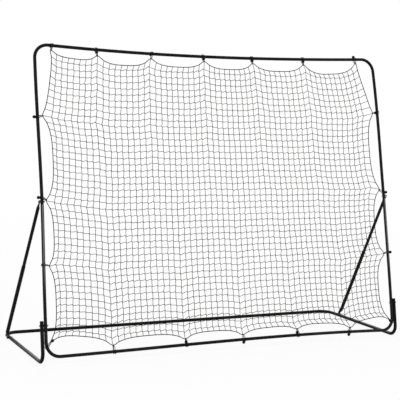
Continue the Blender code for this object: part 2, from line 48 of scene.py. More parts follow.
# Sizes of the frame and the base, in metres, as the solids have them
sizes = {
    "halfWidth": 1.2065,        # from the middle to an upright's centre line
    "length": 1.855,            # between the bars' centre lines, along the frame
    "tube": 0.010, "wall": 0.0012, "cornerRadius": 0.085, "lean": radians(10.0), "knee": radians(2.0),
    "kneeHeight": 0.892, "pivotHeight": 0.185, "barJoint": 0.500, "barHeight": 0.0465,
    "braceHeight": 0.908,       # where the brace tops are bolted on
    "topBow": 0.033, "bottomBow": 0.0155, "sideBow": 0.008,     # how far the net's pull bows each member in,
    "topSkew": -0.15, "bottomSkew": 0.8,                        # and how lopsidedly
    "leftPull": 0.007, "rightPull": 0.019, "pullStart": 1.200,  # further pull on the upper corners
    "socket": 0.060, "swage": 0.006, "slip": 0.0003, "seam": 0.0004,
    "deburr": 0.3,              # share of the wall that is filed off a cut rim
}
base = {
    "tube": 0.011, "wall": 0.0012, "reach": 0.885, "frontBend": 0.058, "rearBend": 0.085,
    "rearJoint": 0.310, "stub": 0.208, "sideGap": 0.0016,
    "footInset": 0.145,         # from the rear bar to the brace feet
}
base["railX"] = sizes["halfWidth"] + sizes["tube"] + base["sideGap"] + base["tube"]
footY = base["reach"] - base["footInset"]
# How many sides each round piece is drawn with
facets = {"frameTube": 32, "baseTube": 36, "hole": 24, "bolt": 48, "washer": 36, "ball": 28, "strand": 10}
poleRadius = 0.00005            # a lathed pole stays just open, so that its last face isn't empty
hands = ((-1, "left"), (1, "right"))
sideways = Vector((1, 0, 0))

# The base's rear bar says how far the solids were moved to centre them on the origin.
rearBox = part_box("base_rear_bar")
shift = Vector((0, (rearBox[0][1] + rearBox[1][1]) / 2 - base["reach"], 0))


# Where points of the frame and the floor lie
def framePlane(x, s):
    share = s / sizes["length"]
    rise = max(0.0, (s - sizes["pivotHeight"]) / (sizes["length"] - sizes["pivotHeight"]))
    side = x / sizes["halfWidth"]
    lift = sizes["bottomBow"] * (1 + sizes["bottomSkew"] * side)
    drop = sizes["topBow"] * (1 + sizes["topSkew"] * side)
    pull = sizes["rightPull"] if x > 0 else sizes["leftPull"]
    pull *= max(0.0, (s - sizes["pullStart"]) / (sizes["length"] - sizes["pullStart"])) ** 2
    x -= side * (sizes["sideBow"] * sin(pi * rise) ** 2 + pull)
    s += (1 - side * side) * (lift * (1 - share) - drop * share)
    return x, s


def leanAt(s):
    return sizes["lean"] + (sizes["knee"] if s > sizes["kneeHeight"] else 0.0)


def framePoint(x, s, forward=0.0):
    lower = min(s, sizes["kneeHeight"])
    upper = max(0.0, s - sizes["kneeHeight"])
    steep = sizes["lean"] + sizes["knee"]
    lean = leanAt(s)
    y = lower * sin(sizes["lean"]) + upper * sin(steep) - forward * cos(lean)
    z = sizes["barHeight"] + lower * cos(sizes["lean"]) + upper * cos(steep) + forward * sin(lean)
    return Vector((x, y, z)) + shift


def frameNormal(s):
    return Vector((0, -cos(leanAt(s)), sin(leanAt(s))))


def upFrame(s):
    return Vector((0, sin(leanAt(s)), cos(leanAt(s))))


def bowed(x, s):
    return framePoint(*framePlane(x, s))


def floorPoint(x, y, z):
    return Vector((x, y, z)) + shift


# Mesh tools
def newObject(name, data):
    made = bpy.data.objects.new(name, data)
    bpy.context.scene.collection.objects.link(made)
    return made


def meshFrom(bm, name):
    mesh = bpy.data.meshes.new(name)
    bm.to_mesh(mesh)
    bm.free()
    return mesh


def shapedMesh(item):
    return bpy.data.meshes.new_from_object(item.evaluated_get(bpy.context.evaluated_depsgraph_get()))


def ring(centre, across, up, radius, sides):
    turns = [2 * pi * i / sides for i in range(sides)]
    return [centre + radius * (cos(turn) * across + sin(turn) * up) for turn in turns]


def fillet(before, corner, after, radius, steps):
    first = (before - corner).normalized()
    second = (after - corner).normalized()
    half = first.angle(second) / 2
    centre = corner + (first + second).normalized() * radius / sin(half)
    spoke = corner + first * radius / tan(half) - centre
    other = corner + second * radius / tan(half) - centre
    axis = spoke.cross(other).normalized()
    turns = [(pi - 2 * half) * i / steps for i in range(steps + 1)]
    return [centre + Matrix.Rotation(turn, 3, axis) @ spoke for turn in turns]


def between(start, end, steps):
    return [start.lerp(end, i / steps) for i in range(1, steps)]


def pathFrames(path, side, closed=False):
    frames = []
    last = len(path) - 1
    for i, point in enumerate(path):
        before = path[i - 1] if closed or i > 0 else point
        after = path[(i + 1) % len(path)] if closed or i < last else point
        tangent = (after - before).normalized()
        side = (side - side.dot(tangent) * tangent).normalized()
        frames.append((tangent, side, tangent.cross(side)))
    return frames


def skinRings(rings, closed=False):
    bm = bmesh.new()
    uvLayer = bm.loops.layers.uv.new("alongTube")
    loops = [[bm.verts.new(point) for point in points] for points in rings]
    reach = [0.0]
    for first, second in zip(rings, rings[1:]):
        reach.append(reach[-1] + (second[0] - first[0]).length)
    spans = [(i, i + 1) for i in range(len(rings) - 1)]
    if closed:
        spans.append((len(rings) - 1, 0))
        reach.append(reach[-1] + (rings[0][0] - rings[-1][0]).length)
    else:
        bm.faces.new(loops[0])
        bm.faces.new(loops[-1])
    count = len(rings[0])
    for a, b in spans:
        top = b if b else len(rings)
        for i in range(count):
            j = (i + 1) % count
            face = bm.faces.new((loops[a][i], loops[a][j], loops[b][j], loops[b][i]))
            marks = ((i, a), (i + 1, a), (i + 1, top), (i, top))
            for corner, (u, v) in zip(face.loops, marks):
                corner[uvLayer].uv = (u / count, reach[v])
    bmesh.ops.recalc_face_normals(bm, faces=bm.faces)
    return meshFrom(bm, "shape")


def tubeRings(path, radii, frames, sides):
    return [ring(p, s, u, r, sides) for p, r, (t, s, u) in zip(path, radii, frames)]


def sweep(path, radius, side, sides):
    # A round cord that runs back into itself
    return skinRings(tubeRings(path, [radius] * len(path), pathFrames(path, side, True), sides), closed=True)


def hollowTube(path, radii, wall, side, sides):
    frames = pathFrames(path, side)
    outer = tubeRings(path, radii, frames, sides)
    inner = tubeRings(path, [r - wall for r in radii], frames, sides)
    ease = wall * sizes["deburr"]
    rims = []
    for end, inwards in ((0, 1), (-1, -1)):
        tangent, across, up = frames[end]
        rims.append(ring(path[end], across, up, radii[end] - ease, sides))
        outer[end] = [point + tangent * inwards * ease for point in outer[end]]
    return skinRings(rims[:1] + outer + rims[1:] + inner[::-1], closed=True)


def lathe(profile, place, direction, sides):
    turn = direction.to_track_quat("Z", "Y").to_matrix()
    across = turn @ Vector((1, 0, 0))
    up = turn @ Vector((0, 1, 0))
    rings = [ring(place + direction * rise, across, up, max(r, poleRadius), sides) for rise, r in profile]
    return skinRings(rings)


def joinMeshes(meshes):
    bm = bmesh.new()
    for mesh in meshes:
        bm.from_mesh(mesh)
        bpy.data.meshes.remove(mesh)
    return meshFrom(bm, "joined")


def drill(mesh, place, direction, radius, depth):
    part = newObject("blank", mesh)
    rod = lathe([(-depth, radius), (depth, radius)], place, direction, facets["hole"])
    cutter = newObject("cutter", rod)
    cut = part.modifiers.new("hole", "BOOLEAN")
    cut.solver = "EXACT"
    cut.object = cutter
    drilled = shapedMesh(part)
    for item in (part, cutter):
        bpy.data.objects.remove(item)
    return drilled


def addPiece(name, mesh, material, body, replaced, sharp=35):
    # Edges sharper than this many degrees stay sharp.
    mesh.materials.clear()
    mesh.materials.append(material)
    mesh.shade_smooth()
    mesh.set_sharp_from_angle(angle=radians(sharp))
    piece = newObject(name, mesh)
    mesh.name = name
    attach(piece, body)
    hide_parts(replaced)


# Materials
def hexColour(text):
    channels = [int(text[i:i + 2], 16) / 255 for i in (1, 3, 5)]
    return tuple(c / 12.92 if c <= 0.04045 else ((c + 0.055) / 1.055) ** 2.4 for c in channels) + (1.0,)


def setNode(tree, node, values):
    # Lower-case names are the node's settings, the rest its inputs. A node stands for its first output.
    for key, value in values.items():
        if isinstance(key, str) and key.islower():
            setattr(node, key, value)
        elif isinstance(value, bpy.types.Node):
            tree.links.new(value.outputs[0], node.inputs[key])
        elif isinstance(value, bpy.types.NodeSocket):
            tree.links.new(value, node.inputs[key])
        else:
            node.inputs[key].default_value = value


def addNode(tree, kind, values=None):
    # A kind that doesn't say Node is a shader node.
    node = tree.nodes.new(kind if "Node" in kind else "ShaderNode" + kind)
    setNode(tree, node, values or {})
    return node


def newMaterial(name):
    material = bpy.data.materials.new(name)
    material.use_nodes = True
    tree = material.node_tree
    return material, tree, tree.nodes["Principled BSDF"]


def twoTone(tree, pattern, span, first, second, most=1.0):
    # The colour goes from the first tone to the second where the pattern rises through the span.
    share = addNode(tree, "MapRange", {0: pattern, 1: span[0], 2: span[1], 4: most})
    first = hexColour(first) if isinstance(first, str) else first
    mix = addNode(tree, "Mix", {"data_type": "RGBA", 0: share, 6: first, 7: hexColour(second)})
    return mix.outputs[2]


def dressShader(tree, shader, tone, gloss, relief, others):
    # Gloss is a pattern, the span that it rises through and the roughness at both its ends.
    # Relief is a pattern with its strength and depth.
    dull = addNode(tree, "MapRange", dict(enumerate(gloss)))
    bump = addNode(tree, "Bump", dict(zip(("Height", "Strength", "Distance"), relief)))
    setNode(tree, shader, {"Base Color": tone, "Roughness": dull, "Normal": bump, **others})


# The repeats of every pattern are counted per metre, and each depth is in metres.
coat = {
    "patches": 9.0, "patchSpan": (0.35, 0.7),       # the film's tone drifts over about 110 mm
    "scuffs": 55.0, "scuffSpan": (0.68, 0.80), "scuffShare": 0.55, "scuffColour": "#262425",    # 18 mm apart
    "dullSpan": (0.3, 0.8), "dulling": 0.14,
    "greyStart": 0.1, "greyEnd": 0.5, "greyLeast": 0.7,     # how evenly a painted highlight covers its stretch
    "peel": 1 / 0.003, "peelDepth": 0.0002,     # orange peel, 1.5 mm across, drawn at 3 mm so that it shows
}


def powderCoat(name, dark, pale, roughness, peel, sheen, paintedHighlight=None):
    # Polyester powder coat on steel tube: an even black film with fine orange peel, and where one is asked
    # for, a painted highlight in paler grey on given places and facings.
    material, tree, shader = newMaterial(name)
    coordinates = addNode(tree, "TexCoord")
    place = coordinates.outputs["Object"]
    clouds = addNode(tree, "TexNoise", {"Vector": place, "Scale": coat["patches"], "Detail": 4.0})
    grain = addNode(tree, "TexNoise", {"Vector": place, "Scale": coat["peel"], "Detail": 2.0})
    scuff = addNode(tree, "TexNoise", {
        "Vector": place, "Scale": coat["scuffs"], "Detail": 6.0, "Roughness": 0.7})
    tone = twoTone(tree, clouds, coat["patchSpan"], dark, pale)
    tone = twoTone(tree, scuff, coat["scuffSpan"], tone, coat["scuffColour"], coat["scuffShare"])
    if paintedHighlight:      # painted highlight: a paler grey that grows from the first to the second place or facing of each zone
        parts = {
            "place": addNode(tree, "SeparateXYZ", {"Vector": place}),
            "facing": addNode(tree, "SeparateXYZ", {"Vector": coordinates.outputs["Normal"]})}
        grey = addNode(tree, "MapRange", {
            0: clouds, 1: coat["greyStart"], 2: coat["greyEnd"], 3: coat["greyLeast"]})
        for kind, axis, first, second in paintedHighlight["zones"]:
            zone = addNode(tree, "MapRange", {0: parts[kind].outputs[axis], 1: first, 2: second})
            grey = addNode(tree, "Math", {"operation": "MULTIPLY", 0: grey, 1: zone})
        tone = twoTone(tree, grey, (0.0, 1.0), tone, paintedHighlight["colour"])
    dressShader(tree, shader, tone, (scuff, *coat["dullSpan"], roughness, roughness + coat["dulling"]),
                (grain, peel, coat["peelDepth"]), {"Specular IOR Level": sheen})
    return material


moulding = {
    "clouds": 90.0, "cloudSpan": (0.4, 0.75),       # handling marks, about 11 mm apart
    "glossSpan": (0.3, 0.7), "roughness": (0.42, 0.58),
    "grain": 1 / 0.0009, "strength": 0.35, "depth": 0.0001,     # spark-eroded mould, drawn at 0.9 mm
}


def mouldedPlastic(name, dark, pale):
    # Injection-moulded polyethylene: dull black with a faint spark-eroded texture and handling marks.
    material, tree, shader = newMaterial(name)
    place = addNode(tree, "TexCoord").outputs["Object"]
    clouds = addNode(tree, "TexNoise", {"Vector": place, "Scale": moulding["clouds"], "Detail": 3.0})
    grain = addNode(tree, "TexNoise", {"Vector": place, "Scale": moulding["grain"], "Detail": 2.0})
    dressShader(tree, shader, twoTone(tree, clouds, moulding["cloudSpan"], dark, pale),
                (clouds, *moulding["glossSpan"], *moulding["roughness"]),
                (grain, moulding["strength"], moulding["depth"]), {"Specular IOR Level": 0.12})
    return material


steel = {
    "clouds": 260.0, "cloudSpan": (0.45, 0.75),     # the finish drifts in tone over about 4 mm
    "marks": (200.0, 2400.0, 2400.0), "strength": 0.2, "depth": 0.00005,    # 5 mm long and 0.4 mm apart
    "glossSpan": (0.3, 0.7), "polish": 0.06, "dulling": 0.12,
}


def boltSteel(name, colour, stain, metallic, roughness):
    # Rolled steel bolts and nuts, plated or oxidised: metal with a cloudy tone and fine turning marks.
    material, tree, shader = newMaterial(name)
    place = addNode(tree, "TexCoord").outputs["Object"]
    clouds = addNode(tree, "TexNoise", {"Vector": place, "Scale": steel["clouds"], "Detail": 4.0})
    scratch = addNode(tree, "Mapping", {"Vector": place, "Scale": steel["marks"]})
    lines = addNode(tree, "TexNoise", {"Vector": scratch, "Scale": 1.0, "Detail": 2.0})
    gloss = (lines, *steel["glossSpan"], roughness - steel["polish"], roughness + steel["dulling"])
    dressShader(tree, shader, twoTone(tree, clouds, steel["cloudSpan"], colour, stain), gloss,
                (lines, steel["strength"], steel["depth"]), {"Metallic": metallic})
    return material


# Two plaits round the cord, each 4.7 mm long: coarser than a real braid, so that they show
braid = {"round": 4.0, "plait": 1 / 0.0024, "strength": 0.6, "depth": 0.0002, "roughness": 0.72}


def braidedElastic(name, dark, pale):
    # Braided polyester sleeve over rubber: a dull black diagonal plait that runs round the cord.
    material, tree, shader = newMaterial(name)
    uv = addNode(tree, "UVMap", {"uv_map": "alongTube"})
    waves = []
    for twist in (1, -1):
        scale = (braid["round"] * twist, braid["plait"], 1.0)
        turned = addNode(tree, "Mapping", {"Vector": uv, "Scale": scale})
        waves.append(addNode(tree, "TexWave", {
            "bands_direction": "DIAGONAL", "Vector": turned, "Scale": 1.0 / pi, "Distortion": 0.6,
            "Detail": 1.0}).outputs["Fac"])
    plait = addNode(tree, "Math", {"operation": "MAXIMUM", 0: waves[0], 1: waves[1]})
    bump = addNode(tree, "Bump", {
        "Height": plait, "Strength": braid["strength"], "Distance": braid["depth"]})
    setNode(tree, shader, {
        "Base Color": twoTone(tree, plait, (0.0, 1.0), dark, pale), "Roughness": braid["roughness"],
        "Specular IOR Level": 0.06, "Normal": bump})
    return material


# The lay repeats after about four pitches: 10 mm on the twine and 18 mm on the border cord.
lay = {"fibres": 60.0, "fibreSpan": (0.3, 0.75), "roughness": (0.55, 0.8), "strength": 0.5, "depth": 0.0003}


def twistedTwine(name, dark, pale, pitch):
    # Three-strand polyethylene twine, laid and knotted: slightly waxy, brownish black, with a diagonal lay.
    material, tree, shader = newMaterial(name)
    place = addNode(tree, "TexCoord").outputs["Object"]
    strands = addNode(tree, "TexWave", {
        "bands_direction": "DIAGONAL", "Vector": place, "Scale": 0.5 / pitch / pi, "Distortion": 1.2,
        "Detail": 1.0, "Detail Scale": 2.0}).outputs["Fac"]
    fibre = addNode(tree, "TexNoise", {"Vector": place, "Scale": lay["fibres"], "Detail": 4.0})
    dressShader(tree, shader, twoTone(tree, fibre, lay["fibreSpan"], dark, pale),
                (strands, 0.0, 1.0, *lay["roughness"]), (strands, lay["strength"], lay["depth"]),
                {"Specular IOR Level": 0.05})
    return material


frameCoat = powderCoat("satinBlackPowderCoat", "#0b0a0b", "#121112", 0.40, 0.25, 0.08)
# Painted highlight: the lower uprights' front faces are painted paler grey between 0.40 m and 0.62 m high,
# standing in for a lamp's sheen.
lowerCoatWithPaintedHighlight = powderCoat("blackPowderCoatWithPaintedHighlight", "#0b0a0b", "#131213", 0.34, 0.25, 0.12, {
    "colour": "#6f6a6a", "zones": (("place", "Z", 0.40, 0.62), ("facing", "Y", -0.84, -0.99))})
baseCoat = powderCoat("semiGlossBlackPowderCoat", "#0a090a", "#111011", 0.36, 0.22, 0.08)
# Painted highlight: the floor rails' upward faces are painted paler grey along part of their length,
# standing in for the sheen of light from above; the scuffs are wear.
railCoatWithPaintedHighlight = powderCoat("scuffedBlackPowderCoatWithPaintedHighlight", "#0a090a", "#111011", 0.36, 0.22, 0.08, {
    "colour": "#827c7c", "zones": (("place", "Z", 0.036, 0.022), ("place", "Y", 0.30, -0.34),
                                   ("place", "Y", -0.41, -0.36), ("facing", "Z", 0.3, 0.9))})
plastic = mouldedPlastic("mouldedBlackPolyethylene", "#0b0b0b", "#131212")
zinc = boltSteel("zincPlatedSteel", "#8f9196", "#6d7075", 1.0, 0.38)
blackened = boltSteel("blackOxideSteel", "#1b1b1d", "#2a2a2c", 0.6, 0.42)
elastic = braidedElastic("braidedBlackElastic", "#090909", "#1a1919")
twine = twistedTwine("knottedPolyethyleneTwine", "#1a110c", "#2e2017", 0.0025)
edgeRope = twistedTwine("laidPolyethyleneBorderCord", "#110c0a", "#211814", 0.0045)
print("materials made")


# Frame tubes
tubeSteps = {"straight": 22, "across": 16, "corner": 18, "bar": 20}
swageCurve = ((0.3, 0.2), (0.6, 0.8))       # how far along a swage, and the share of its growth there
sleeve = sizes["tube"] - sizes["wall"] - sizes["slip"]
boltHole = 0.0036
drillDepth = 0.02


def upright(side, upper):
    w = side * sizes["halfWidth"]
    knee = sizes["kneeHeight"]
    start = Vector((w, knee + sizes["swage"] if upper else knee - sizes["seam"], 0))
    corner = Vector((w, sizes["length"] if upper else 0, 0))
    far = Vector((side * sizes["barJoint"], corner.y, 0))
    arc = fillet(start, corner, far, sizes["cornerRadius"], tubeSteps["corner"])
    flat = [start] + between(start, arc[0], tubeSteps["straight"]) + arc
    flat += between(arc[-1], far, tubeSteps["across"]) + [far]
    radii = [sizes["tube"]] * len(flat)
    if upper:       # its foot is the sleeve that slips into the lower tube
        heights = [knee - sizes["socket"], knee]
        heights += [knee + sizes["swage"] * along for along, gain in swageCurve]
        flat = [Vector((w, height, 0)) for height in heights] + flat
        gained = [sleeve + (sizes["tube"] - sleeve) * gain for along, gain in swageCurve]
        radii = [sleeve, sleeve] + gained + radii
    path = [bowed(point.x, point.y) for point in flat]
    mesh = hollowTube(path, radii, sizes["wall"], frameNormal(0), facets["frameTube"])
    hole = bowed(w, sizes["braceHeight"]) if upper else framePoint(w, sizes["pivotHeight"])
    return drill(mesh, hole, sideways, boltHole, drillDepth)


def swagedBar(end, tube, wall, steps):
    # Places along a middle bar and its radius at each, with a reduced sleeve at both ends
    thin = tube - wall - sizes["slip"]
    full = end - sizes["swage"]
    tip = [(end + sizes["socket"], thin), (end, thin)]
    tip += [(end - sizes["swage"] * along, thin + (tube - thin) * gain) for along, gain in swageCurve]
    middle = [(full * i / steps, tube) for i in range(-steps, steps + 1)]
    return zip(*[(-x, radius) for x, radius in tip] + middle + tip[::-1])


for side, label in hands:
    for half, finish in (("upper", frameCoat), ("lower", lowerCoatWithPaintedHighlight)):
        node = "frame_%s_%s" % (half, label)
        addPiece("tube_" + node, upright(side, half == "upper"), finish, "frame", node)
places, radii = swagedBar(sizes["barJoint"] - sizes["seam"], sizes["tube"], sizes["wall"], tubeSteps["bar"])
for node, s in (("frame_top_bar", sizes["length"]), ("frame_bottom_bar", 0)):
    path = [bowed(x, s) for x in places]
    bar = hollowTube(path, radii, sizes["wall"], frameNormal(s), facets["frameTube"])
    addPiece("tube_" + node, bar, frameCoat, "frame", node)
print("frame tubes made")


# Base tubes and caps
baseSteps = {"stub": 5, "bend": 18, "rail": 14, "rear": 10, "bar": 10}
cap = {"flange": 0.004, "plug": 0.018, "ease": 0.0022, "chamfer": 0.0012, "rim": 0.0003, "steps": 6}


def baseSide(side):
    x = side * base["railX"]
    stub = framePoint(x, base["stub"])
    lean = upFrame(0)
    heel = stub - lean * (stub.z - base["tube"]) / lean.z
    rear = floorPoint(x, base["reach"], base["tube"])
    end = floorPoint(side * base["rearJoint"], base["reach"], base["tube"])
    front = fillet(stub, heel, rear, base["frontBend"], baseSteps["bend"])
    back = fillet(heel, rear, end, base["rearBend"], baseSteps["bend"])
    path = [stub] + between(stub, front[0], baseSteps["stub"]) + front
    path += between(front[-1], back[0], baseSteps["rail"]) + back
    path += between(back[-1], end, baseSteps["rear"]) + [end]
    mesh = hollowTube(path, [base["tube"]] * len(path), base["wall"], sideways, facets["baseTube"])
    for hole in (framePoint(x, sizes["pivotHeight"]), floorPoint(x, footY, base["tube"])):
        mesh = drill(mesh, hole, sideways, boltHole, drillDepth)
    return mesh


def endCap(side):
    seat = framePoint(side * base["railX"], base["stub"]) + upFrame(0) * sizes["slip"]
    plug = base["tube"] - base["wall"] - sizes["slip"]
    tip = -cap["plug"]
    profile = [(tip, 0.0), (tip, plug - cap["chamfer"]), (tip + cap["chamfer"], plug), (0.0, plug)]
    profile += [(0.0, base["tube"] - cap["rim"]), (cap["rim"], base["tube"])]
    for i in range(cap["steps"] + 1):
        turn = pi / 2 * i / cap["steps"]
        rise = cap["flange"] - cap["ease"] * (1 - sin(turn))
        profile.append((rise, base["tube"] - cap["ease"] * (1 - cos(turn))))
    profile.append((cap["flange"], 0.0))
    return lathe(profile, seat, upFrame(0), facets["baseTube"])


for side, label in hands:
    addPiece("tube_base_side_" + label, baseSide(side), railCoatWithPaintedHighlight, "base", "base_side_" + label)
    addPiece("cap_" + label, endCap(side), plastic, "base", "end_cap_" + label)
places, radii = swagedBar(base["rearJoint"] - sizes["seam"], base["tube"], base["wall"], baseSteps["bar"])
path = [floorPoint(x, base["reach"], base["tube"]) for x in places]
rearBar = hollowTube(path, radii, base["wall"], Vector((0, 1, 0)), facets["baseTube"])
addPiece("tube_base_rear_bar", rearBar, baseCoat, "base", "base_rear_bar")
print("base made")


# Braces
brace = {
    "outer": 0.012, "outerWall": 0.0015, "outerWidth": 0.020, "outerHole": boltHole, "outerLength": 0.600,
    "inner": 0.010, "innerWall": 0.0012, "innerWidth": 0.021, "innerHole": 0.0066, "overlap": 0.170,
    "tab": 0.003, "flat": 0.016, "throat": 0.034, "throatSteps": 12,     # the pressed ends
    "tipSteps": 8, "tipWidth": 0.16, "tipEdge": 0.55, "tipSide": 0.75, "tipSwell": 0.1,
    "squareness": 0.42,         # of a pressed end's section, where 1 is round
    "footGap": 0.0014, "topGap": 0.0032, "drillDepth": 0.006, "tubeSteps": 12,
}


def braceEnds(side):
    footX = base["railX"] + base["tube"] + brace["footGap"] + brace["tab"] / 2
    x, s = framePlane(sizes["halfWidth"], sizes["braceHeight"])
    top = framePoint(side * (x + sizes["tube"] + brace["topGap"] + brace["tab"] / 2), s)
    return floorPoint(side * footX, footY, base["tube"]), top


def pressedRing(centre, across, thick, width, depth, power):
    points = []
    for i in range(facets["frameTube"]):
        turn = 2 * pi * i / facets["frameTube"]
        a = cos(turn)
        b = sin(turn)
        points.append(centre + across * width / 2 * copysign(abs(a) ** power, a)
                      + thick * depth / 2 * copysign(abs(b) ** power, b))
    return points


def pressedEnd(place, inwards, across, thick, width, offset, radius):
    # A round-tipped tab that widens into a round tube
    square = brace["squareness"]
    rings = []
    for i in range(brace["tipSteps"] + 1):
        turn = pi / 2 * i / brace["tipSteps"]
        centre = place + inwards * (-width / 2 * cos(turn))
        thickness = min(1.0, brace["tipSide"] + brace["tipSwell"] * i) if i else brace["tipEdge"]
        wide = width * max(sin(turn), brace["tipWidth"])
        rings.append(pressedRing(centre, across, thick, wide, brace["tab"] * thickness, square))
    rings.append(pressedRing(place + inwards * brace["flat"], across, thick, width, brace["tab"], square))
    for i in range(1, brace["throatSteps"] + 1):
        t = i / brace["throatSteps"]
        ease = t * t * (3 - 2 * t)
        centre = place + inwards * (brace["flat"] + brace["throat"] * t) + thick * offset * ease
        depth = brace["tab"] + (2 * radius - brace["tab"]) * ease
        wide = width + (2 * radius - width) * ease
        rings.append(pressedRing(centre, across, thick, wide, depth, square + (1 - square) * ease))
    return rings


def braceTube(side, part):
    foot, top = braceEnds(side)
    offset = brace["outer"] - brace["tab"] / 2
    out = Vector((side, 0, 0))
    axis = (top - foot - out * offset).normalized()
    across = axis.cross(out).normalized()
    thick = across.cross(axis).normalized()
    start = foot + thick * offset
    axis = (top - start).normalized()
    pinned, first, away, reach = foot, start, axis, brace["outerLength"]
    if part == "inner":
        pinned, first, away, reach = top, top, -axis, reach - brace["overlap"]
        offset = 0.0
    mouth = start + axis * reach
    radius, wall = brace[part], brace[part + "Wall"]
    rings = pressedEnd(pinned, away, across, thick, brace[part + "Width"], offset, radius)
    blind = first + away * (brace["flat"] + brace["throat"] + radius)
    centre = sum(rings[-1], Vector()) / len(rings[-1])
    ease = wall * sizes["deburr"]
    rim = mouth - away * ease
    rounds = [(place, radius) for place in between(centre, rim, brace["tubeSteps"]) + [rim]]
    rounds += [(mouth, radius - ease), (mouth, radius - wall), (blind, radius - wall)]
    rings += [ring(place, across, thick, r, facets["frameTube"]) for place, r in rounds]
    return drill(skinRings(rings), pinned, thick, brace[part + "Hole"], brace["drillDepth"])


for side, label in hands:
    for part, body, finish, slotName in (
        ("outer", "brace_lower_", baseCoat, "base_tube"),
        ("inner", "brace_upper_", frameCoat, "frame_tube"),
    ):
        node = "brace_%s_%s" % (part, label)
        addPiece("tube_" + node, braceTube(side, part), finish, body + label, node)
print("braces made")


# Bolts, nuts and spacers
bolt = {
    "radius": 0.003, "across": 0.010, "nut": 0.005, "tail": 0.002, "sharp": 28,
    "pitch": 0.001, "threadDepth": 0.0004, "threadStart": 0.0004, "threadEnd": 0.0006, "runOut": 0.002,
    "point": 0.0007,            # how much thinner the tip is
    # Rounds by height and radius, hexagons by height, share of the width and reach of their corners
    "crown": ((0.004, 0.0001), (0.004, 0.004)),
    "head": ((0.0039, 1.0, 0.93), (0.0034, 1.0, 1.16), (0.0003, 1.0, 1.16), (0.0, 0.98, 1.10)),
    "nutFaces": ((0.0, 1.0, 1.06), (0.0006, 1.0, 1.16), (0.0043, 1.0, 1.16), (0.005, 1.0, 0.95)),
    "nutBore": ((0.005, 0.0036), (0.0046, 0.0032), (0.0004, 0.0032), (0.0, 0.0036)),
}
spacer = {"bore": 0.0037, "radius": 0.007, "chamfer": 0.0004}


def crossAxes(direction):
    across = Vector((0, 1, 0))
    across = (across - across.dot(direction) * direction).normalized()
    return across, direction.cross(across)


def roundRings(seat, direction, rows, sides):
    across, up = crossAxes(direction)
    return [ring(seat + direction * rise, across, up, radius, sides) for rise, radius in rows]


def hexRings(seat, direction, rows):
    across, up = crossAxes(direction)
    rings = []
    for rise, share, corner in rows:
        half = bolt["across"] * share / 2
        points = []
        for i in range(facets["bolt"]):
            turn = 2 * pi * i / facets["bolt"]
            flat = (turn + pi / 6) % (pi / 3) - pi / 6
            reach = min(half / cos(flat), half * corner)
            points.append(seat + direction * rise + reach * (cos(turn) * across + sin(turn) * up))
        rings.append(points)
    return rings


def hexBolt(seat, direction, grip):
    radius = bolt["radius"]
    plain = grip - bolt["nut"] - bolt["tail"] - bolt["runOut"]
    start = plain + bolt["threadStart"]
    end = grip - bolt["threadEnd"]
    turns = int((end - start) / bolt["pitch"])
    shank = [(0.0, radius), (-plain, radius)]
    for i in range(turns * 2 + 1):
        rise = start + (end - start) * i / (turns * 2)
        shank.append((-rise, radius - (bolt["threadDepth"] if i % 2 else 0.0)))
    shank.append((-grip, radius - bolt["point"]))
    rings = roundRings(seat, direction, bolt["crown"], facets["bolt"])
    rings += hexRings(seat, direction, bolt["head"])
    return skinRings(rings + roundRings(seat, direction, shank, facets["bolt"]))


def hexNut(seat, direction):
    rings = hexRings(seat, direction, bolt["nutFaces"])
    return skinRings(rings + roundRings(seat, direction, bolt["nutBore"], facets["bolt"]), closed=True)


def washer(seat, direction):
    thick = base["sideGap"] - 2 * sizes["slip"]
    bore, radius, chamfer = spacer["bore"], spacer["radius"], spacer["chamfer"]
    half = [(0.0, bore), (0.0, radius - chamfer), (chamfer, radius)]
    rows = half + [(thick - rise, r) for rise, r in half[::-1]]
    return skinRings(roundRings(seat, direction, rows, facets["washer"]), closed=True)


for side, label in hands:
    out = Vector((side, 0, 0))
    slip = sizes["slip"]
    foot, top = braceEnds(side)
    x, s = framePlane(sizes["halfWidth"], sizes["braceHeight"])
    spots = {
        "pivot": (framePoint(side * (base["railX"] + base["tube"] + slip), sizes["pivotHeight"]),
                  framePoint(side * (sizes["halfWidth"] - sizes["tube"] - slip), sizes["pivotHeight"]),
                  "base", zinc, "zinc_bolt"),
        "foot": (foot + out * (brace["tab"] / 2 + brace["footGap"]),
                 floorPoint(side * (base["railX"] - base["tube"] - slip), footY, base["tube"]),
                 "base", blackened, "black_bolt"),
        "top": (top + out * (brace["tab"] / 2 + brace["topGap"]),
                framePoint(side * (x - sizes["tube"] - slip), s),
                "frame", zinc, "zinc_bolt"),
    }
    for spot, (seat, inside, body, finish, slotName) in spots.items():
        screw = hexBolt(seat, out, (seat - inside).length + bolt["nut"] + bolt["tail"])
        for kind, shape, coating, slot in (
            ("bolt", screw, finish, slotName),
            ("nut", hexNut(inside, -out), zinc, "zinc_bolt"),
        ):
            node = "%s_%s_%s" % (spot, kind, label)
            addPiece("%s_%s_%s" % (kind, spot, label), shape, coating, body, node, bolt["sharp"])
    seat = framePoint(side * (sizes["halfWidth"] + sizes["tube"] + slip), sizes["pivotHeight"])
    addPiece("spacer_" + label, washer(seat, out), plastic, "base", "pivot_spacer_" + label)
print("bolts made")


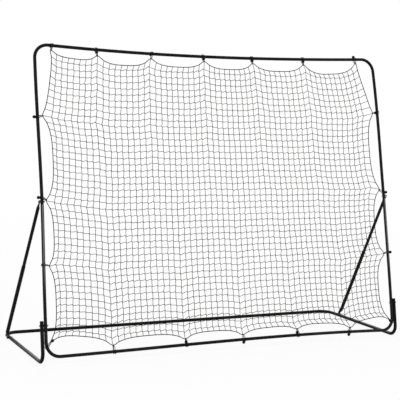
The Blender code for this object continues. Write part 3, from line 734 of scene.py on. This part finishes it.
# Net
net = {
    "columns": 58, "rows": 43,
    "meshHeight": 0.0398, "meshWidth": 0.0396, "topMeshWidth": 0.0385,
    "firstRow": 0.0522,             # where the lowest row would lie without the ties, along the frame
    "middleColumn": 29.64,          # which column would lie in the frame's middle
    "leftLift": 0.055, "leftLiftColumns": 10.2, "leftLiftCurve": 1.2,       # the net's sides are tied high
    "leftLiftFade": 0.4, "leftLiftFadeCurve": 4,
    "rightLift": 0.020, "rightLiftColumns": 3.5, "rightLiftStart": 0.4,
    "cord": 0.0034, "border": 0.0050, "knot": 0.0074, "sharp": 60,
    "knotReach": 0.0030, "knotStep": 0.0027, "knotSway": 0.0015,    # how cords step and sway at a knot
    "knotFacets": (7, 4), "knotSmall": (0.8, 0.65, 0.6), "knotLarge": (1.2, 1.0, 0.9), "knotTurn": 6.3,
    "slack": 0.0050, "unevenness": 0.0020, "seed": 11,
    "drift": 30.0, "driftSeed": 3.0,            # slack cords stray together over about 30 mm
    "rowPull": 0.62, "rowFade": 2.9,            # how much of a border's scallop the meshes take on, and
    "columnPull": 0.56, "columnFade": 6.0,      # how soon it fades away from the border
    "topHeld": (0, 8, 17, 27, 37, 47, 58), "bottomHeld": (0, 9, 21, 31, 40, 50, 58),   # columns held by ties
    "leftHeld": (0, 11, 20, 33, 43), "rightHeld": (0, 11, 23, 35, 43),                  # rows held by ties
    "topKnots": (-1.107, -0.809, -0.458, -0.087, 0.267, 0.656, 1.073),
    "bottomKnots": (-0.797, -0.324, 0.073, 0.465, 0.872),
    "leftKnots": (0.096, 0.529, 0.911, 1.422), "rightKnots": (0.078, 0.517, 0.956, 1.477),
    "topReach": (0.029, 0.038, 0.031, 0.031, 0.034, 0.038, 0.029),      # border to tube axis, at a tie
    "bottomReach": (0.038, 0.036, 0.030, 0.039, 0.027),
    "leftReach": (0.0335, 0.035, 0.027, 0.032), "rightReach": (0.0275, 0.031, 0.032, 0.038),
    "topScallops": (0.036, 0.051, 0.045, 0.046, 0.048, 0.067),
    "bottomScallops": (0.039, 0.040, 0.036, 0.029, 0.033, 0.031),
    "leftScallops": (0.034, 0.036, 0.052, 0.018),
    "rightScallops": (0.064, 0.058, 0.052, 0.004),
    "flatness": 3.2,                # how flat the middle of a scallop is
}


def edgePoints(stations, edge, inwards):
    points = []
    scallops, held = net[edge + "Scallops"], net[edge + "Held"]
    for index in range(held[-1] + 1):
        span = max(i for i in range(len(scallops)) if held[i] <= index)
        share = (index - held[span]) / (held[span + 1] - held[span])
        point = stations[span].lerp(stations[span + 1], share)
        points.append(point + inwards * scallops[span] * (1 - abs(2 * share - 1) ** net["flatness"]))
    return points


def levelKnot(row, column):
    # A knot of the net as it would hang without the ties' pull
    high = row / net["rows"]
    wide = net["meshWidth"] + (net["topMeshWidth"] - net["meshWidth"]) * high
    left = max(0.0, 1 - column / net["leftLiftColumns"]) ** net["leftLiftCurve"] * net["leftLift"]
    right = max(0.0, 1 - (net["columns"] - column) / net["rightLiftColumns"]) * net["rightLift"]
    lift = left * (1 - net["leftLiftFade"] * high ** net["leftLiftFadeCurve"])
    lift += right * (net["rightLiftStart"] + high)
    return Vector(((column - net["middleColumn"]) * wide, net["firstRow"] + net["meshHeight"] * row + lift))


def tiePoint(x, s, inX, inS):
    x, s = framePlane(x, s)
    return Vector((x + inX, s + inS))


def netEdges():
    # Where the border's knots lie, along each edge of the net
    ties = {}
    for edge, s, up in (("top", sizes["length"], -1), ("bottom", 0, 1)):
        places = zip(net[edge + "Knots"], net[edge + "Reach"])
        ties[edge] = [tiePoint(x, s, 0, up * reach) for x, reach in places]
    for side, edge in hands:
        places = zip(net[edge + "Knots"], net[edge + "Reach"])
        ties[edge] = [tiePoint(side * sizes["halfWidth"], s, -side * reach, 0) for s, reach in places]
    ties["left"].append(ties["top"][0])
    ties["right"].append(ties["top"][-1])
    ties["bottom"] = [ties["left"][0]] + ties["bottom"] + [ties["right"][0]]
    inwards = {"bottom": (0, 1), "top": (0, -1), "left": (1, 0), "right": (-1, 0)}
    return [edgePoints(ties[edge], edge, Vector(way)) for edge, way in inwards.items()]


def netGrid():
    columns, rows = net["columns"], net["rows"]
    bottom, top, left, right = netEdges()
    corners = {(row, column): line[index] - levelKnot(row, column) for row, column, line, index in (
        (0, 0, left, 0), (0, columns, right, 0), (rows, 0, left, -1), (rows, columns, right, -1))}
    grid = []
    for row in range(rows + 1):
        line = []
        for column in range(columns + 1):
            if row in (0, rows):
                line.append((top if row else bottom)[column])
                continue
            if column in (0, columns):
                line.append((right if column else left)[row])
                continue
            high, low = (row / rows) ** net["rowFade"], (1 - row / rows) ** net["rowFade"]
            far, near = (column / columns) ** net["columnFade"], (1 - column / columns) ** net["columnFade"]
            place = levelKnot(row, column)
            place += (bottom[column] - levelKnot(0, column)) * low * net["rowPull"]
            place += (top[column] - levelKnot(rows, column)) * high * net["rowPull"]
            place += (left[row] - levelKnot(row, 0)) * near * net["columnPull"]
            place += (right[row] - levelKnot(row, columns)) * far * net["columnPull"]
            for (atRow, atColumn), gap in corners.items():
                share = (high if atRow else low) * (far if atColumn else near)
                place -= gap * share * net["rowPull"] * net["columnPull"]
            line.append(place)
        grid.append(line)
    return grid


def lineMesh(lines, closed=False):
    bm = bmesh.new()
    for line in lines:
        verts = [bm.verts.new(framePoint(*point)) for point in line]
        ends = verts[1:] + verts[:1] if closed else verts[1:]
        for start, end in zip(verts, ends):
            bm.edges.new((start, end))
    return meshFrom(bm, "lines")


def knottedCord(knots, hops):
    # A cord through its knots, which steps over at each of them
    points = [knots[0]]
    for index, (before, knot) in enumerate(zip(knots, knots[1:-1])):
        hop = hops[index % 2]
        points += [before.lerp(knot, 0.5), knot - hop, knot + hop]
    return points + [knots[-2].lerp(knots[-1], 0.5), knots[-1]]


def netMeshes():
    # Lines for the cords that run across, for those that run up, for the border, and points for the knots
    draw = random.Random(net["seed"])
    rows, columns = net["rows"], net["columns"]
    grid = []
    for row, line in enumerate(netGrid()):
        knotRow = []
        for column, p in enumerate(line):
            inside = 0 < row < rows and 0 < column < columns
            loose = net["unevenness"] if inside else 0.0
            jog = [draw.uniform(-1, 1) * loose for i in range(3)]
            knotRow.append(Vector((p.x + jog[0], p.y + jog[1], jog[2])))
        grid.append(knotRow)
    reach = net["knotReach"]
    drops = [Vector((reach, -net["knotStep"], 0))] * 2
    sways = [Vector((side * net["knotSway"], reach, 0)) for side in (-1, 1)]
    across = [knottedCord(grid[row], drops) for row in range(1, rows)]
    upward = [knottedCord([line[column] for line in grid], sways) for column in range(1, columns)]
    left = [line[0] for line in grid]
    right = [line[-1] for line in grid]
    rim = grid[0] + right[1:] + grid[-1][-2::-1] + left[-2:0:-1]
    knots = [[knot] for line in grid for knot in line]
    return {"across": lineMesh(across), "upward": lineMesh(upward), "border": lineMesh([rim], closed=True),
            "knots": lineMesh(knots)}


def slackLines(tree, entry):
    # Let every point drift a little, so that the cords hang slack between their knots.
    noise = addNode(tree, "TexNoise", {
        "noise_dimensions": "4D", "Vector": addNode(tree, "GeometryNodeInputPosition"),
        "W": entry.outputs["Seed"], "Scale": net["drift"], "Detail": 1.0})
    centred = addNode(tree, "VectorMath", {
        "operation": "SUBTRACT", 0: noise.outputs["Color"], 1: (0.5, 0.5, 0.5)})
    offset = addNode(tree, "VectorMath", {"operation": "SCALE", 0: centred, "Scale": entry.outputs["Slack"]})
    return addNode(tree, "GeometryNodeSetPosition", {"Geometry": entry.outputs["Lines"], "Offset": offset})


def newTree(name, inputs):
    tree = bpy.data.node_groups.new(name, "GeometryNodeTree")
    rows = [("Lines", "Geometry", None), ("Finish", "Material", None), ("Diameter", "Float", 0.002)]
    rows += [("Slack", "Float", 0.0), ("Seed", "Float", 1.0)]
    ids = {}
    for label, kind, value in rows + inputs:
        made = tree.interface.new_socket(name=label, in_out="INPUT", socket_type="NodeSocket" + kind)
        if value is not None:
            made.default_value = value
        ids[label] = made.identifier
    tree.interface.new_socket(name="Geometry", in_out="OUTPUT", socket_type="NodeSocketGeometry")
    entry = addNode(tree, "NodeGroupInput")
    radius = addNode(tree, "Math", {"operation": "MULTIPLY", 0: entry.outputs["Diameter"], 1: 0.5})
    return tree, ids, entry, radius


def closeTree(tree, entry, geometry):
    solid = addNode(tree, "GeometryNodeRealizeInstances", {"Geometry": geometry})
    finish = addNode(tree, "GeometryNodeSetMaterial", {
        "Geometry": solid, "Material": entry.outputs["Finish"]})
    addNode(tree, "NodeGroupOutput", {"Geometry": finish})


def cordTree():
    tree, ids, entry, radius = newTree("cordsAlongLines", [("Sides", "Int", 6), ("Steps", "Int", 2)])
    curves = addNode(tree, "GeometryNodeMeshToCurve", {"Mesh": slackLines(tree, entry)})
    curves = addNode(tree, "GeometryNodeCurveSplineType", {"spline_type": "CATMULL_ROM", "Curve": curves})
    curves = addNode(tree, "GeometryNodeSetSplineResolution", {
        "Geometry": curves, "Resolution": entry.outputs["Steps"]})
    profile = addNode(tree, "GeometryNodeCurvePrimitiveCircle", {
        "Resolution": entry.outputs["Sides"], "Radius": radius})
    tube = addNode(tree, "GeometryNodeCurveToMesh", {
        "Curve": curves, "Profile Curve": profile, "Fill Caps": True})
    closeTree(tree, entry, tube)
    return tree, ids


def knotTree():
    tree, ids, entry, radius = newTree("knotsOnPoints", [])
    sides, rings = net["knotFacets"]
    blob = addNode(tree, "GeometryNodeMeshUVSphere", {"Segments": sides, "Rings": rings, "Radius": radius})
    turn = addNode(tree, "FunctionNodeRandomValue", {
        "data_type": "FLOAT_VECTOR", 0: (0, 0, 0), 1: [net["knotTurn"]] * 3})
    size = addNode(tree, "FunctionNodeRandomValue", {
        "data_type": "FLOAT_VECTOR", 0: net["knotSmall"], 1: net["knotLarge"]})
    placed = addNode(tree, "GeometryNodeInstanceOnPoints", {
        "Points": slackLines(tree, entry), "Instance": blob,
        "Rotation": turn, "Scale": size})
    closeTree(tree, entry, placed)
    return tree, ids


def grow(tree, ids, mesh, values):
    carrier = newObject("carrier", mesh)
    modifier = carrier.modifiers.new("grow", "NODES")
    modifier.node_group = tree
    for label, value in values.items():
        modifier[ids[label]] = value
    grown = shapedMesh(carrier)
    carrier.modifiers.remove(modifier)
    bpy.data.objects.remove(carrier)
    return grown


cords = cordTree()
knots = knotTree()
netLines = netMeshes()
for part, (tree, ids), finish, diameter, slack, counts in (
    ("across", cords, twine, net["cord"], net["slack"], {"Sides": 6, "Steps": 2}),
    ("upward", cords, twine, net["cord"], net["slack"], {"Sides": 6, "Steps": 2}),
    ("border", cords, edgeRope, net["border"], 0.0, {"Sides": 10, "Steps": 4}),
    ("knots", knots, twine, net["knot"], net["slack"], {}),
):
    shape = grow(tree, ids, netLines[part], {
        "Diameter": diameter, "Slack": slack, "Seed": net["driftSeed"], "Finish": finish, **counts})
    addPiece("net_" + part, shape, finish, "frame", "net", net["sharp"])
    print("net", part, "made:", len(shape.polygons), "faces")


# Elastic ties and their balls
tie = {
    "strand": 0.0017, "slack": 0.0006, "wrap": radians(52), "wrapStops": 4, "tightness": 0.985,
    "gap": 0.0052, "neckGap": 0.35, "tipGap": 0.45,     # half the strands' distance, and shares of it
    "ballClear": radians(22), "neckDepth": 0.86, "sharp": 60,
    "tipPast": 0.0004, "tipBack": 0.004, "lag": 0.25, "roundings": 2, "cornerCut": 0.25,
    "cornerTurn": radians(18.0),    # how far round the lower bends the two lowest side ties sit
    "topShift": (0.009, -0.009, 0.009, -0.009, -0.009, -0.009, -0.009),
    "bottomShift": (0.009, 0.009, 0.009, 0.009, -0.009),
    "leftShift": (0.0, 0.009, 0.022, -0.009), "rightShift": (0.0, 0.009, -0.022, 0.009),
    "topBalls": (-90, 150, -90, 142, 150, 152, -25),
    "bottomBalls": (-90, -150, -26, -142, -26),
    "leftBalls": (180, -90, 0, 0), "rightBalls": (152, 0, 0, -90),      # 180: a ball in front of the net
}
ball = {
    "radius": 0.010, "hole": 0.0030, "holeDepth": 0.004, "holeTaper": 0.8, "holeRim": 0.0006, "steps": 18,
    "nubAngle": 0.32, "nub": ((0.0, 0.0026), (0.0004, 0.0023), (0.0008, 0.0014), (0.0009, 0.0)),
}


def smoothLoop(points):
    for i in range(tie["roundings"]):
        pairs = zip(points, points[1:] + points[:1])
        cuts = (tie["cornerCut"], 1 - tie["cornerCut"])
        points = [first.lerp(second, cut) for first, second in pairs for cut in cuts]
    return points


def ballMesh(place, way):
    # Ball with a countersunk hole where the elastic comes in and a knot nub on the far pole.
    radius, hole = ball["radius"], ball["hole"]
    start = acos(hole / radius)
    high = radius * sin(start)
    profile = [(high - ball["holeDepth"], 0.0), (high - ball["holeDepth"], hole * ball["holeTaper"])]
    profile.append((high - ball["holeRim"], hole))
    for i in range(ball["steps"] + 1):
        turn = start - (start + pi / 2 - ball["nubAngle"]) * i / ball["steps"]
        profile.append((radius * sin(turn), radius * cos(turn)))
    low = radius * cos(ball["nubAngle"])
    profile += [(-low - rise, wide) for rise, wide in ball["nub"]]
    return lathe([(-rise, wide) for rise, wide in profile], place, -way, facets["ball"])


def tiePiece(centre, along, out, ballAngle, held):
    front = along.cross(out).normalized()
    if front.y > 0:
        front = -front
    inward = (held - centre).normalized()
    wrapRadius = (sizes["tube"] + tie["strand"] + tie["slack"]) / cos(tie["wrap"] / 2) * tie["tightness"]
    seat = radians(ballAngle)
    atNet = ballAngle == 180
    if atNet:
        way = front
        ballPlace = held + front * (ball["radius"] + net["border"])
    else:
        way = out * cos(seat) + front * sin(seat)
        ballPlace = centre + way * (sizes["tube"] + ball["radius"] + tie["slack"])
    wide = net["border"] / 2 + tie["strand"]
    meshes = []
    for hand in (-1, 1):
        part = along * tie["gap"] * hand
        neck = ballPlace + part * tie["neckGap"] - way * ball["radius"] * tie["neckDepth"]
        spots = []
        for i in range(-tie["wrapStops"], tie["wrapStops"] + 1):
            turn = i * tie["wrap"] / 2
            if atNet or abs(turn - seat) > tie["ballClear"]:
                spots.append((turn, centre + part + (out * cos(turn) + front * sin(turn)) * wrapRadius))
        if not atNet:
            spots.append((seat, neck))
        spots.sort(key=lambda item: item[0])
        tip = held + part * tie["tipGap"] + inward * (wide + tie["tipPast"])
        back = tip - inward * tie["tipBack"]
        loop = [place for turn, place in spots]
        loop += [neck if atNet else back + front * wide, tip, back - front * wide]
        meshes.append(sweep(smoothLoop(loop), tie["strand"], along, facets["strand"]))
    return joinMeshes(meshes), ballMesh(ballPlace, way)


def cornerPlace(side):
    arm = Vector((side * cos(tie["cornerTurn"]), -sin(tie["cornerTurn"])))
    x = side * (sizes["halfWidth"] - sizes["cornerRadius"]) + arm.x * sizes["cornerRadius"]
    s = sizes["cornerRadius"] + arm.y * sizes["cornerRadius"]
    out = sideways * arm.x + upFrame(0) * arm.y
    along = upFrame(0) * arm.x * side - sideways * arm.y * side
    return bowed(x, s), along, out


tieRows = []
for edge, s, out in (("top", sizes["length"], upFrame(sizes["length"])), ("bottom", 0, -upFrame(0))):
    for i, x in enumerate(net[edge + "Knots"]):
        tieRows.append((edge, i, bowed(x, s), sideways, out))
for side, edge in hands:
    for i, s in enumerate(net[edge + "Knots"]):
        tieRows.append((edge, i, bowed(side * sizes["halfWidth"], s), upFrame(s), Vector((side, 0, 0))))
for edge, i, knotPlace, along, out in tieRows:
    name = "%s_%d" % (edge, i + 1)
    shiftBy = tie[edge + "Shift"][i]
    held = knotPlace + along * shiftBy * tie["lag"] - out * net[edge + "Reach"][i]
    centre = knotPlace + along * shiftBy
    if i == 0 and edge in ("left", "right"):
        centre, along, out = cornerPlace(out.x)
    strands, bead = tiePiece(centre, along, out, tie[edge + "Balls"][i], held)
    addPiece("tie_strands_" + name, strands, elastic, "frame", "tie_" + name, tie["sharp"])
    addPiece("tie_ball_" + name, bead, plastic, "frame", "tie_" + name)
print("ties made:", len(tieRows))


# Floor, light and camera
studio = {
    "floorRadius": 9.0, "floorSides": 96, "floorDrop": 0.0005, "floorGlow": 0.88, "skyLight": 0.62,
    "paperGrain": 40.0, "fadeStart": 3.0, "fadeEnd": 7.5,
    "lamps": (
        ("keyLamp", (-3.4, -5.2, 4.6), (0.0, -0.2, 0.9), 2.6, 150.0),
        ("fillLamp", (5.2, -3.4, 2.6), (0.2, 0.0, 0.8), 2.2, 60.0),
        ("rimLamp", (1.5, 4.8, 3.8), (0.0, 0.0, 1.0), 2.4, 70.0),
    ),
}
camera = {
    "place": (-2.9963, -5.9, 1.5414), "yaw": 0.43543, "pitch": -0.09053, "roll": 0.025,
    "focus": 1071.13, "frame": 400,     # focal length and width of the picture, in pixels
    "sensor": 36.0,
}


def makeFloor():
    bm = bmesh.new()
    bmesh.ops.create_circle(bm, cap_ends=True, radius=studio["floorRadius"], segments=studio["floorSides"])
    floor = newObject("studioFloor", meshFrom(bm, "studioFloor"))
    floor.location.z = -studio["floorDrop"]
    # Matt white paper sweep. It fades out with distance, so that it has no edge against the white behind.
    material, tree = newMaterial("mattWhitePaper")[:2]
    tree.nodes.clear()
    place = addNode(tree, "TexCoord").outputs["Object"]
    grain = addNode(tree, "TexNoise", {"Vector": place, "Scale": studio["paperGrain"], "Detail": 3.0})
    tone = addNode(tree, "Mix", {
        "data_type": "RGBA", 0: grain, 6: hexColour("#fbfbfb"), 7: hexColour("#ffffff")})
    paper = addNode(tree, "BsdfDiffuse", {"Color": tone.outputs[2]})
    glow = addNode(tree, "Emission", {"Color": (1, 1, 1, 1), "Strength": 1.0})
    rays = addNode(tree, "LightPath")
    share = addNode(tree, "Math", {
        "operation": "MULTIPLY", 0: rays.outputs["Is Camera Ray"], 1: studio["floorGlow"]})
    lit = addNode(tree, "MixShader", {0: share, 1: paper, 2: glow})
    distance = addNode(tree, "VectorMath", {"operation": "LENGTH", 0: place})
    fade = addNode(tree, "MapRange", {
        0: distance.outputs["Value"], 1: studio["fadeStart"], 2: studio["fadeEnd"]})
    clear = addNode(tree, "BsdfTransparent")
    faded = addNode(tree, "MixShader", {0: fade, 1: lit, 2: clear})
    addNode(tree, "OutputMaterial", {"Surface": faded})
    floor.data.materials.append(material)


def makeWorld():
    # White to the camera, in reflections and through clear things, and dimmer as a light
    world = bpy.data.worlds.new("studioWhite")
    bpy.context.scene.world = world
    world.use_nodes = True
    tree = world.node_tree
    tree.nodes.clear()
    rays = addNode(tree, "LightPath")
    seen = rays.outputs["Is Camera Ray"]
    for kind in ("Is Glossy Ray", "Is Transmission Ray"):
        seen = addNode(tree, "Math", {"operation": "MAXIMUM", 0: seen, 1: rays.outputs[kind]})
    strength = addNode(tree, "MapRange", {0: seen, 3: studio["skyLight"]})
    sky = addNode(tree, "Background", {"Color": (1, 1, 1, 1), "Strength": strength})
    addNode(tree, "OutputWorld", {"Surface": sky})


def makeLamps():
    for name, place, aim, size, power in studio["lamps"]:
        light = bpy.data.lights.new(name, "AREA")
        light.size = size
        light.energy = power
        lamp = newObject(name, light)
        lamp.location = place
        lamp.rotation_euler = (Vector(aim) - Vector(place)).to_track_quat("-Z", "Y").to_euler()


def makeCamera():
    yaw, pitch, roll = camera["yaw"], camera["pitch"], camera["roll"]
    ahead = Vector((sin(yaw) * cos(pitch), cos(yaw) * cos(pitch), sin(pitch)))
    right = Vector((cos(yaw), -sin(yaw), 0.0))
    up = right.cross(ahead)
    rightward = cos(roll) * right + sin(roll) * up
    upward = -sin(roll) * right + cos(roll) * up
    lens = bpy.data.cameras.new("camera")
    lens.sensor_width = camera["sensor"]
    lens.lens = camera["focus"] / camera["frame"] * camera["sensor"]
    eye = newObject("camera", lens)
    turn = Matrix((rightward, upward, -ahead)).transposed()
    eye.matrix_world = Matrix.Translation(Vector(camera["place"]) + shift) @ turn.to_4x4()
    bpy.context.scene.camera = eye


makeFloor()
makeWorld()
makeLamps()
makeCamera()
bpy.context.scene.view_settings.view_transform = "Standard"
print("studio made")
